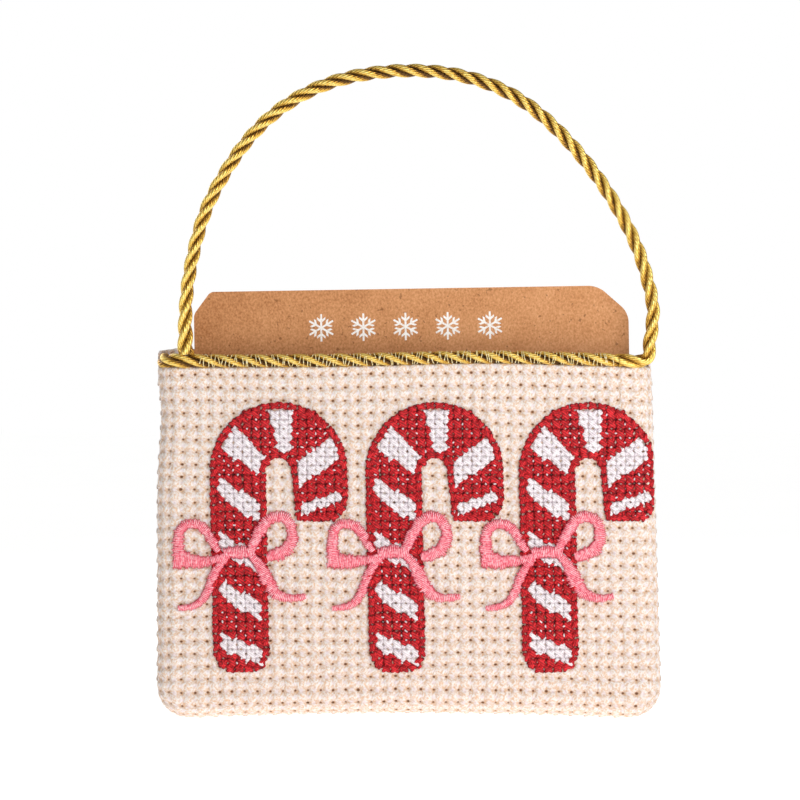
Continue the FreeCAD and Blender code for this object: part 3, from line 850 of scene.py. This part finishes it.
def band_point(along, across):
    """The upright place that is so far along a cane and across it."""
    radius = ARCH_RADIUS - across
    if along < ARM:
        return Vector((radius, along - ARM))
    if along < ARM + TURN:
        angle = (along - ARM) / ARCH_RADIUS
        return Vector((radius * math.cos(angle), radius * math.sin(angle)))
    return Vector((-radius, ARM + TURN - along))


def cane_point(arch_x, along, across):
    """The same place on the front of the pouch, with the lean."""
    x, z = band_point(along, across)
    return Vector((arch_x + x + STEM_LEAN * max(0.0, -z), 0, ARCH_Z + z))


def band_half(along, across):
    """Half the band's width on one side. Both ends are rounded, the hook's inner corner tightly."""
    to_end = min(along, CANE_LENGTH - along)
    in_hook = along < ARM and across > 0
    radius = HEEL_RADIUS if in_hook else TOE_RADIUS
    half = BAND_HALF - (ARM_TAPER * (1 - along / ARM) if in_hook else 0.0)
    if to_end >= radius:
        return half
    return half - radius + math.sqrt(max(0.0, radius ** 2 - (radius - to_end) ** 2))


STRIPES = [[band_point(share * CANE_LENGTH, across) for share, across in (
    (outer_start, -BAND_HALF), (outer_end, -BAND_HALF), (inner_end, BAND_HALF), (inner_start, BAND_HALF))]
    for outer_start, outer_end, inner_start, inner_end in STRIPE_SHARES]


def in_stripe(arch_x, x, z):
    """True inside a white stripe, which slants across the band."""
    place = Vector(upright_place(arch_x, x, z))
    return any(geometry.intersect_point_quad_2d(place, *corners) for corners in STRIPES)


# %% Cane stitches
RED_ARM_WIDTH = 1.1
WHITE_ARM_WIDTH = 1.02
ARM_HEIGHT = 0.7
RIM_WIDTH = 1.25
RIM_ARM_WIDTH = 0.84
RIM_LIFT = 0.12
RIM_STEPS = 300
STRIPE_INSET = 1.3
FILL_INSET = 0.7
CHART_HEIGHT = 60
CHART_COLUMNS = range(-3, 13)
# The two arms of a cross: lift over the cloth, and which way the arm slants
CROSS_ARMS = ((0.05, 1), (0.24, -1))
ARM_END = 0.8
CHANGES = (-0.7, -0.5, -0.3, -0.1, 0.1, 0.3, 0.5, 0.7, ARM_END)
CHANGE_OVERLAP = 0.12
LOOSENESS = 0.13
PEEK_SHARE = 0.34
PEEK_LENGTHS = (0.36, 0.8)
PEEK_WIDTH = 0.34
PEEK_LIFT = 0.3
red_floss = floss("red_floss", (62, 3, 8), (164, 13, 23), (242, 50, 58), fibres=3.0, twist=2.0,
                  Roughness=0.55, Specular_IOR_Level=0.25)
white_floss = floss("white_floss", (184, 170, 176), (230, 219, 224), (255, 252, 252), fibres=3.0,
                    twist=2.0, end_shade_weight=0.2, Roughness=0.6, Specular_IOR_Level=0.25)


def cross_stitch(place, along, width, colour_at, arm_widths):
    """Two arms over one square of the chart. An arm changes colour where it meets a stripe's edge."""
    across = Vector((-along.z, 0, along.x)) * width
    for lift, slope in CROSS_ARMS:
        lift += RIM_LIFT if width < STITCH else 0.0
        corner = (along * STITCH + across * slope) / 2
        ends = [place + end * corner + Vector((chance.uniform(-LOOSENESS, LOOSENESS), 0,
                                               chance.uniform(-LOOSENESS, LOOSENESS)))
                for end in (-1, 1)]
        first, second = [colour_at(place + end * corner * ARM_END) for end in (-1, 1)]
        runs = [(ends[0], ends[1], first)]
        if first is not second:
            change = next(share for share in CHANGES if colour_at(place + corner * share) is second)
            runs = [(ends[0], place + corner * (change + CHANGE_OVERLAP), first),
                    (place + corner * (change - CHANGE_OVERLAP), ends[1], second)]
        for start, end, shape in runs:
            start_point, out = on_front(start.x, start.z, lift)
            end_point, out = on_front(end.x, end.z, lift)
            sew(shape, start_point, end_point, out, arm_widths[shape], ARM_HEIGHT)


def cane_rim(arch_x):
    """The line that the outermost stitches follow, all round a cane, and a step that divides it."""
    steps = [CANE_LENGTH * step / RIM_STEPS for step in range(RIM_STEPS + 1)]
    inset = RIM_WIDTH / 2
    outer, inner = [[
        cane_point(arch_x, max(inset, min(along, CANE_LENGTH - inset)),
                   edge * (band_half(along, edge) - inset))
        for along in steps] for edge in (-1, 1)]
    rim = outer + inner[::-1] + outer[:1]
    length = sum((after - before).length for before, after in zip(rim, rim[1:]))
    return rim, length / round(length / STITCH)


def sew_cane(name, arch_x):
    """Red and white stitches of one cane, with white thread peeking through between red crosses."""
    red, white = bmesh.new(), bmesh.new()
    level = Vector((1, 0, 0))
    widths = {red: RED_ARM_WIDTH, white: WHITE_ARM_WIDTH}

    def striped(place):
        along, across = band_place(arch_x, place.x, place.z)
        under_rim = abs(across) > BAND_HALF - STRIPE_INSET
        return white if in_stripe(arch_x, place.x, place.z) and not under_rim else red

    for row in range(1, int(CHART_HEIGHT / STITCH)):
        for column in CHART_COLUMNS:
            x = arch_x - ARCH_RADIUS + column * STITCH
            z = FOOT_Z + row * STITCH
            place = Vector((x + STEM_LEAN * max(0.0, ARCH_Z - z), 0, z))
            along, across = band_place(arch_x, place.x, place.z)
            inside = FILL_INSET < along < CANE_LENGTH - FILL_INSET
            if not inside or abs(across) > band_half(along, across) - FILL_INSET:
                continue
            cross_stitch(place, level, STITCH, striped, widths)
            for side in (level, Vector((0, 0, 1))):
                gap = place + side * STITCH / 2
                deep = abs(band_place(arch_x, gap.x, gap.z)[1]) < BAND_HALF - RIM_WIDTH
                if deep and striped(gap) is red and chance.random() < PEEK_SHARE:
                    point, out = on_front(gap.x, gap.z, PEEK_LIFT)
                    turn = chance.uniform(0, math.pi)
                    lean = Vector((math.cos(turn), 0, math.sin(turn))) * chance.uniform(*PEEK_LENGTHS) / 2
                    sew(white, point - lean, point + lean, out, PEEK_WIDTH, PEEK_WIDTH)
    for place, heading in walk(*cane_rim(arch_x)):
        cross_stitch(place, heading, RIM_WIDTH, lambda place: red, {red: RIM_ARM_WIDTH})
    finish_piece(f"cane_{name}_red_stitches", red, red_floss, "pouch", [f"cane_{name}_red"])
    finish_piece(f"cane_{name}_white_stitches", white, white_floss, "pouch",
                 [f"cane_{name}_white"])


for name, arch_x in CANES.items():
    sew_cane(name, arch_x)

# %% [markdown]
# ## Satin-stitch bows
# A satin stitch fills a ribbon with threads laid side by side across it. Each ribbon of the bow is a
# smooth line of given points, and the unused depth of those points carries the ribbon's width,
# so the spline smooths both at once. Threads are then laid across it, about a third of a millimetre
# apart.

# %% Bows
SATIN_STEP = 0.35
SATIN_WIDTH = 0.5
SATIN_HEIGHT = 1.0
SATIN_LIFT = 0.16
CANE_LIFT = 0.5
BOW_Z = 33.6
KNOTS = {"left": -34.15, "middle": -2.95, "right": 28.15}
RIBBON_RESOLUTION = 12
SHORTEST = 0.9
RAGGED = 0.4
# Each ribbon: (x from the knot, width, z from the knot)
RIBBONS = [
    [(-2.0, 1.5, -0.4), (-4.4, 1.7, -1.2), (-7.3, 2.3, -1.8), (-10.0, 3.0, -1.7), (-13.2, 3.7, -1.1)],
    [(-12.1, 2.6, -2.2), (-12.3, 2.5, 0.0), (-12.4, 2.2, 2.2), (-12.3, 2.0, 4.4), (-10.9, 1.9, 5.9),
     (-9.0, 1.9, 6.1), (-7.0, 2.0, 5.1), (-5.9, 2.1, 3.3), (-5.0, 1.8, 1.6), (-4.2, 1.2, 0.5)],
    [(2.2, 1.6, 0.2), (3.0, 2.2, 2.3), (4.4, 2.4, 4.8), (5.7, 2.3, 6.8), (7.7, 2.1, 7.6),
     (9.7, 2.1, 7.1), (10.7, 2.1, 5.3), (10.8, 2.3, 2.9), (10.2, 2.5, 1.1), (8.6, 2.7, 0.0),
     (6.6, 2.4, -0.6), (5.6, 1.5, -0.8)],
    [(-2.6, 1.3, -1.0), (-4.3, 1.7, -2.7), (-5.25, 1.9, -4.4), (-5.95, 1.9, -6.7), (-6.8, 1.8, -8.8),
     (-8.2, 1.5, -10.3), (-9.9, 1.3, -11.0), (-12.5, 1.0, -11.2)],
    [(2.6, 1.6, -0.5), (4.1, 2.0, -2.1), (5.2, 2.8, -4.4), (6.0, 3.0, -6.3), (7.1, 2.4, -8.1),
     (9.2, 1.8, -9.0), (11.5, 1.5, -9.2), (13.4, 1.2, -8.7)],
    [(-3.1, 2.0, -0.1), (-1.2, 2.5, 0.3), (1.2, 2.6, 0.35), (3.1, 2.2, -0.1)],
]
pink_floss = floss("pink_floss", (204, 56, 80), (246, 112, 132), (255, 218, 222), fibres=2.0, twist=0.5,
                   patches=2000.0, Roughness=0.45, Specular_IOR_Level=0.4)


def sew_bow(name, arch_x):
    """Satin stitches of one bow, tied round its cane."""
    shape = bmesh.new()
    knot_x = KNOTS[name]
    for ribbon in RIBBONS:
        line = spline_line("ribbon", ribbon, RIBBON_RESOLUTION)
        for place, heading in walk(line, SATIN_STEP):
            across = Vector((-heading.z, 0, heading.x)).normalized() * place.y / 2
            x, z = knot_x + place.x, BOW_Z + place.z
            along, aside = band_place(arch_x, x, z)
            on_cane = 0 < along < CANE_LENGTH and abs(aside) < BAND_HALF
            lift = SATIN_LIFT + (CANE_LIFT if on_cane else 0.0)
            spare = [SHORTEST + chance.uniform(0, RAGGED) for _ in range(2)]
            lift += chance.uniform(0, SATIN_LIFT)
            start, out = on_front(x - across.x * spare[0], z - across.z * spare[0], lift)
            end, out = on_front(x + across.x * spare[1], z + across.z * spare[1], lift)
            sew(shape, start, end, out, SATIN_WIDTH, SATIN_HEIGHT, FINE_THREAD)
    finish_piece(f"bow_{name}_satin", shape, pink_floss, "pouch", [f"bow_{name}"])


for name, arch_x in CANES.items():
    sew_bow(name, arch_x)

# %% [markdown]
# ## Couching
# Fine pale threads bind the gold cord to the mouth, under a millimetre apart. Each goes round the cord
# as a ring, slightly askew, and takes in the edge of the cloth under it.

# %% Couching
COUCHING_PITCH = 0.75
COUCHING_RADIUS = 0.09
COUCHING_SINK = 0.06
COUCHING_REACH = CORD_DIAMETER / 2 - COUCHING_SINK
COUCHING_SPAN = (-42.4, 41.6)
COUCHING_SPREAD = (0.2, 0.8)
COUCHING_TURN = 0.22
COUCHING_LEAN = 0.3
RING_SIDES = 4
RING_STEPS = 12
couching_thread = floss("couching_thread", (190, 156, 84), (246, 224, 150), (255, 248, 214),
                        Roughness=0.4)


def ring_template():
    """A thin ring of thread round the X axis."""
    shape = bmesh.new()
    uv = shape.loops.layers.uv.verify()
    section = bmesh.ops.create_circle(shape, segments=RING_SIDES, radius=COUCHING_RADIUS,
                                      matrix=Matrix.Translation((0, 0, COUCHING_REACH)) @
                                      Matrix.Rotation(math.pi / 2, 4, "X"))
    edges = list({edge for vert in section["verts"] for edge in vert.link_edges})
    bmesh.ops.spin(shape, geom=section["verts"] + edges, cent=(0, 0, 0), axis=(1, 0, 0),
                   angle=math.tau, steps=RING_STEPS, use_merge=True)
    bmesh.ops.recalc_face_normals(shape, faces=shape.faces)
    for face in shape.faces:
        for loop in face.loops:
            loop[uv].uv = (math.atan2(loop.vert.co.y, loop.vert.co.z) / math.tau, 0.5)
    return to_mesh("couching_ring", shape)


RING = ring_template()
couching_shape = bmesh.new()
couching_count = int((COUCHING_SPAN[1] - COUCHING_SPAN[0]) / COUCHING_PITCH)
for index in range(couching_count):
    x = COUCHING_SPAN[0] + (index + chance.uniform(*COUCHING_SPREAD)) * COUCHING_PITCH
    turned = Matrix.Rotation(chance.uniform(-COUCHING_TURN, COUCHING_TURN), 3, "Z")
    askew = turned @ Matrix.Rotation(chance.uniform(-COUCHING_LEAN, COUCHING_LEAN), 3, "Y")
    ring = RING.copy()
    ring.transform(Matrix.Translation(Vector((x, CORD_Y, TRIM_Z + mouth_bow(x))) * MM) @
                   (askew * MM).to_4x4())
    couching_shape.from_mesh(ring)
    bpy.data.meshes.remove(ring)
finish_piece("couching_threads", couching_shape, couching_thread, "pouch",
             ["trim_couching_stitches"])

# %% [markdown]
# ## Kraft card
# The card is die-cut from brown kraft board: its top corners are clipped, and the ends of each clip are
# rounded by the die. It is drawn as six corners, and the bevel tool rounds four of them. Its left edge
# stands a little further in than the CAD's, so that the handle clears it when it swings. The board's
# fibres and specks are noise in its colour, and painted light makes it paler towards its right side.

# %% Card
CARD_WIDTH = 88.9
CARD_HEIGHT = 85.0
CARD_THICKNESS = 0.5
LEFT_EDGE = 0.27
LEFT_CLIP = (3.43, 4.54)
RIGHT_CLIP = (6.2, 5.6)
CLIP_ROUNDS = (1.8, 0.7)
ROUND_STEPS = 6
CARD_PLACE = Vector((-42.6, 1.82, 1.6))
CARD_TILT = math.radians(-0.93)
kraft = new_finish("kraft_board", Roughness=0.8, Specular_IOR_Level=0.2)
kraft_place = piece_place(kraft)
kraft_fibres = grain(kraft, add(kraft, "ShaderNodeMapping",
                                {"Vector": kraft_place, "Scale": (2400, 2400, 1900)}), 1.0, 3.0, 0.6)
kraft_cloud = grain(kraft, kraft_place, 160.0, 3.0)
# The x term is painted light: the board gets paler towards the right, where the key light stands.
kraft_tone = weigh(kraft, (kraft_fibres, 0.75), (kraft_cloud, 0.25), (axes(kraft, kraft_place)[0], 1.2))
kraft_colour = ramp(kraft, kraft_tone, [(0.25, (162, 103, 62)), (0.5, (203, 143, 95)),
                                        (0.75, (228, 170, 124))])
specks = fade(kraft, grain(kraft, kraft_place, 1100.0, 1.0), 0.76, 0.7)
kraft_colour = tint(kraft, maths(kraft, "MULTIPLY", specks, 0.6), kraft_colour, (122, 76, 46))
wear(kraft, kraft_colour, kraft_fibres, relief=0.05, strength=0.4)


def push(shape, made, vector):
    """Move the points that an operator made."""
    bmesh.ops.translate(shape, vec=vector,
                        verts=[item for item in made["geom"] if isinstance(item, bmesh.types.BMVert)])


def on_card(shape, thickness):
    """Thicken a flat shape forwards, and move it from the card's own corner to its place and tilt."""
    front = bmesh.ops.extrude_face_region(shape, geom=shape.faces[:])
    push(shape, front, (0, -thickness, 0))
    bmesh.ops.recalc_face_normals(shape, faces=shape.faces)
    shape.transform(Matrix.Scale(MM, 4) @ Matrix.Translation(CARD_PLACE) @
                    Matrix.Rotation(CARD_TILT, 4, "Y"))


card_shape = bmesh.new()
corners = [card_shape.verts.new((x, 0, z)) for x, z in (
    (LEFT_EDGE, 0), (CARD_WIDTH, 0),
    (CARD_WIDTH, CARD_HEIGHT - RIGHT_CLIP[1]), (CARD_WIDTH - RIGHT_CLIP[0], CARD_HEIGHT),
    (LEFT_EDGE + LEFT_CLIP[0], CARD_HEIGHT), (LEFT_EDGE, CARD_HEIGHT - LEFT_CLIP[1]))]
card_shape.faces.new(corners)
for clip, clip_round in zip((corners[2:4], corners[4:]), CLIP_ROUNDS):
    bmesh.ops.bevel(card_shape, geom=clip, offset=clip_round, offset_type="OFFSET", affect="VERTICES",
                    segments=ROUND_STEPS, profile=0.5, material=-1)
on_card(card_shape, CARD_THICKNESS)
finish_piece("kraft_card", card_shape, kraft, "card", ["insert_card"], smooth=False)

# %% [markdown]
# ## Print on the card
# A row of plain snowflakes is printed in white where such a card carries its print. One arm is drawn as
# a flat outline, spun round six times and joined by a small heart, and the flake is repeated along the
# row. The ink has a thickness, so that it stands on the board, and its cover is slightly uneven.

# %% Card print
FLAKES = 5
FLAKE_PITCH = 8.6
FLAKE_CENTRE = Vector((43.4, -CARD_THICKNESS, 77.3))
FLAKE_ARMS = 6
FLAKE_HEART = 0.4
FLAKE_WELD = 0.01
PRINT_THICKNESS = 0.04
# One side of an arm, (distance from its middle line, distance from the heart's centre)
FLAKE_ARM = [(0.2, 0.3464), (0.2, 1.15), (0.85, 1.7), (0.85, 2.2), (0.2, 1.7), (0.2, 2.8)]
ink = new_finish("white_ink", Roughness=0.7, Specular_IOR_Level=0.2)
ink_cover = grain(ink, piece_place(ink), 2200.0, 2.0, 0.6)
wear(ink, ramp(ink, ink_cover, [(0.3, (232, 212, 192)), (0.45, (250, 244, 238)), (0.7, (255, 253, 250))]),
     ink_cover, relief=0.02)

flake_shape = bmesh.new()
arm = [flake_shape.verts.new((x, 0, z)) for x, z in FLAKE_ARM]
arm += [flake_shape.verts.new((-x, 0, z)) for x, z in reversed(FLAKE_ARM)]
arm_face = flake_shape.faces.new(arm)
bmesh.ops.spin(flake_shape, geom=[arm_face], cent=(0, 0, 0), axis=(0, 1, 0),
               angle=math.tau * (FLAKE_ARMS - 1) / FLAKE_ARMS, steps=FLAKE_ARMS - 1, use_duplicate=True)
bmesh.ops.create_circle(flake_shape, cap_ends=True, segments=FLAKE_ARMS, radius=FLAKE_HEART,
                        matrix=Matrix.Rotation(math.pi / 2, 4, "X"))
bmesh.ops.remove_doubles(flake_shape, verts=flake_shape.verts, dist=FLAKE_WELD)
one_flake = flake_shape.faces[:]
for index in range(1, FLAKES):
    push(flake_shape, bmesh.ops.duplicate(flake_shape, geom=one_flake), (index * FLAKE_PITCH, 0, 0))
bmesh.ops.translate(flake_shape, vec=FLAKE_CENTRE - Vector(((FLAKES - 1) / 2 * FLAKE_PITCH, 0, 0)),
                    verts=flake_shape.verts)
on_card(flake_shape, PRINT_THICKNESS)
finish_piece("card_print", flake_shape, ink, "card", [], smooth=False)

# %% [markdown]
# ## Stage and light
# The holder stands on a pale floor in front of white, as in a studio. A wide soft sun and a dim sky
# light it evenly, one softbox on the right brings out the relief of the stitches, and one behind keeps
# the back from going grey. The white that the camera sees is kept apart from the sky that lights.

# %% Stage
SKY_STRENGTH = 0.24
FLOOR_SIZE = 8.0
FLOOR_Z = -0.0004
POUCH_MIDDLE = (0, 0, 0.06)
SUN_STRENGTH = 0.42
SUN_SPREAD = 50
SUN_HEADING = (-0.32, 0.78, -0.52)
world = bpy.data.worlds.new("studio")
world.use_nodes = True
bpy.context.scene.world = world
air = world.node_tree.nodes["Background"]
air.inputs["Color"].default_value = (1, 1, 1, 1)
air.inputs["Strength"].default_value = SKY_STRENGTH
seen = world.node_tree.nodes.new("ShaderNodeBackground")
seen.inputs["Color"].default_value = (1, 1, 1, 1)
seen.inputs["Strength"].default_value = 1.0
rays = world.node_tree.nodes.new("ShaderNodeLightPath")
blend = world.node_tree.nodes.new("ShaderNodeMixShader")
world.node_tree.links.new(rays.outputs["Is Camera Ray"], blend.inputs[0])
world.node_tree.links.new(air.outputs[0], blend.inputs[1])
world.node_tree.links.new(seen.outputs[0], blend.inputs[2])
world.node_tree.links.new(blend.outputs[0], world.node_tree.nodes["World Output"].inputs[0])
bpy.context.scene.view_settings.view_transform = "Standard"

floor_finish = new_finish("pale_floor", Roughness=0.9, Emission_Color=(1, 1, 1, 1),
                          Emission_Strength=0.7)
floor_cloud = grain(floor_finish, piece_place(floor_finish), 6.0)
wear(floor_finish, ramp(floor_finish, floor_cloud, [(0.3, (250, 250, 249)), (0.7, (254, 254, 253))]))
floor_shape = bmesh.new()
bmesh.ops.create_grid(floor_shape, x_segments=8, y_segments=8, size=FLOOR_SIZE)
floor = show("floor", to_mesh("floor", floor_shape))
floor.data.materials.append(floor_finish)
floor.location.z = FLOOR_Z


def shine(name, light, heading):
    """Put a light in the scene and turn it."""
    lamp = show(name, light)
    lamp.rotation_euler = Vector(heading).to_track_quat("-Z", "Y").to_euler()
    return lamp


def softbox(name, place, size, power):
    """A square studio light, turned towards the pouch."""
    light = bpy.data.lights.new(name, "AREA")
    light.size = size
    light.energy = power
    box = shine(name, light, Vector(POUCH_MIDDLE) - Vector(place))
    box.location = place


sun = bpy.data.lights.new("window", "SUN")
sun.energy = SUN_STRENGTH
sun.angle = math.radians(SUN_SPREAD)
shine("window", sun, SUN_HEADING)
softbox("key", (0.21, -0.27, 0.18), size=0.2, power=0.57)
softbox("back_fill", (-0.4, 0.6, 0.4), size=0.5, power=2.0)
